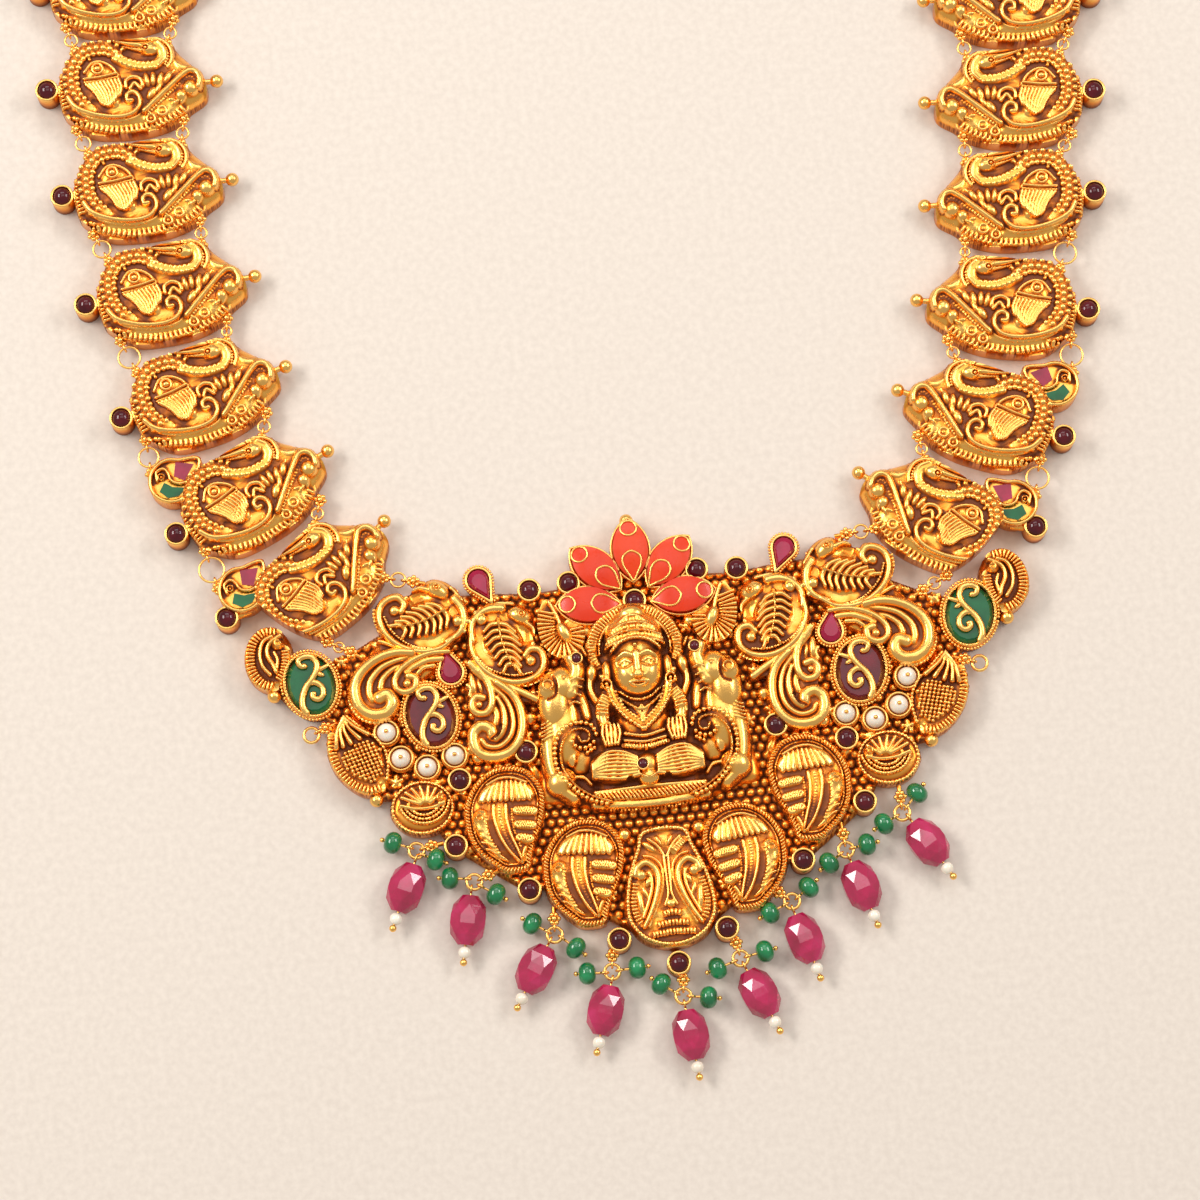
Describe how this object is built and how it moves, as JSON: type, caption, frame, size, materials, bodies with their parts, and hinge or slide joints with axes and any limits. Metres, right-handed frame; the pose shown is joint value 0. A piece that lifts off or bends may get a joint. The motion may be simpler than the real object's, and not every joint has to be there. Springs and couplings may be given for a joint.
{
  "type": "temple jewellery necklace",
  "caption": "Temple necklace of cast peacock links with a broad deity pendant, coral flower, set stones and bead drops, on a plain ring chain.",
  "frame": {"origin": "middle of the flat back of the pendant's deity plaque", "axes": "+Y up the pendant towards the coral flower, +X to the viewer's right, +Z out of the pendant's face, away from the surface"},
  "size_m": [0.1859, 0.3307, 0.0096],
  "materials": {
    "gold": "satin",
    "coral": "gloss",
    "ruby_bead": "gloss",
    "garnet": "gloss",
    "ruby": "gloss",
    "green_stone": "gloss",
    "emerald_bead": "gloss",
    "pearl": "satin"
  },
  "bodies": {
    "root": {"peacock_link_left_1": "gold", "peacock_link_left_2": "gold", "peacock_link_left_3": "gold", "peacock_link_left_4": "gold", "peacock_link_left_5": "gold", "peacock_link_left_6": "gold", "peacock_link_left_7": "gold", "peacock_link_right_1": "gold", "peacock_link_right_2": "gold", "peacock_link_right_3": "gold", "peacock_link_right_4": "gold", "peacock_link_right_5": "gold", "peacock_link_right_6": "gold", "peacock_link_right_7": "gold", "coral_petal_1": "coral", "coral_petal_2": "coral", "coral_petal_3": "coral", "coral_petal_4": "coral", "coral_petal_5": "coral", "drop_ruby_1": "ruby_bead", "drop_ruby_2": "ruby_bead", "drop_ruby_3": "ruby_bead", "drop_ruby_4": "ruby_bead", "drop_ruby_5": "ruby_bead", "drop_ruby_6": "ruby_bead", "drop_ruby_7": "ruby_bead", "drop_ruby_8": "ruby_bead", "drop_ruby_9": "ruby_bead", "link_garnets": "garnet", "end_plate_left": "gold", "end_plate_right": "gold", "back_chain_left": "gold", "back_chain_right": "gold", "clasp": "gold", "jump_rings": "gold", "pendant_frame": "gold", "pendant_garnets": "garnet", "pear_rubies": "ruby", "oval_ruby_left": "ruby", "oval_ruby_right": "ruby", "oval_green_left": "green_stone", "oval_green_right": "green_stone", "set_pearls": "pearl", "accent_rubies": "ruby", "accent_emeralds": "green_stone", "drop_rings": "gold", "drop_pins": "gold", "drop_pearls": "pearl", "emerald_beads": "emerald_bead", "emerald_pins": "gold"}
  },
  "joints": []
}
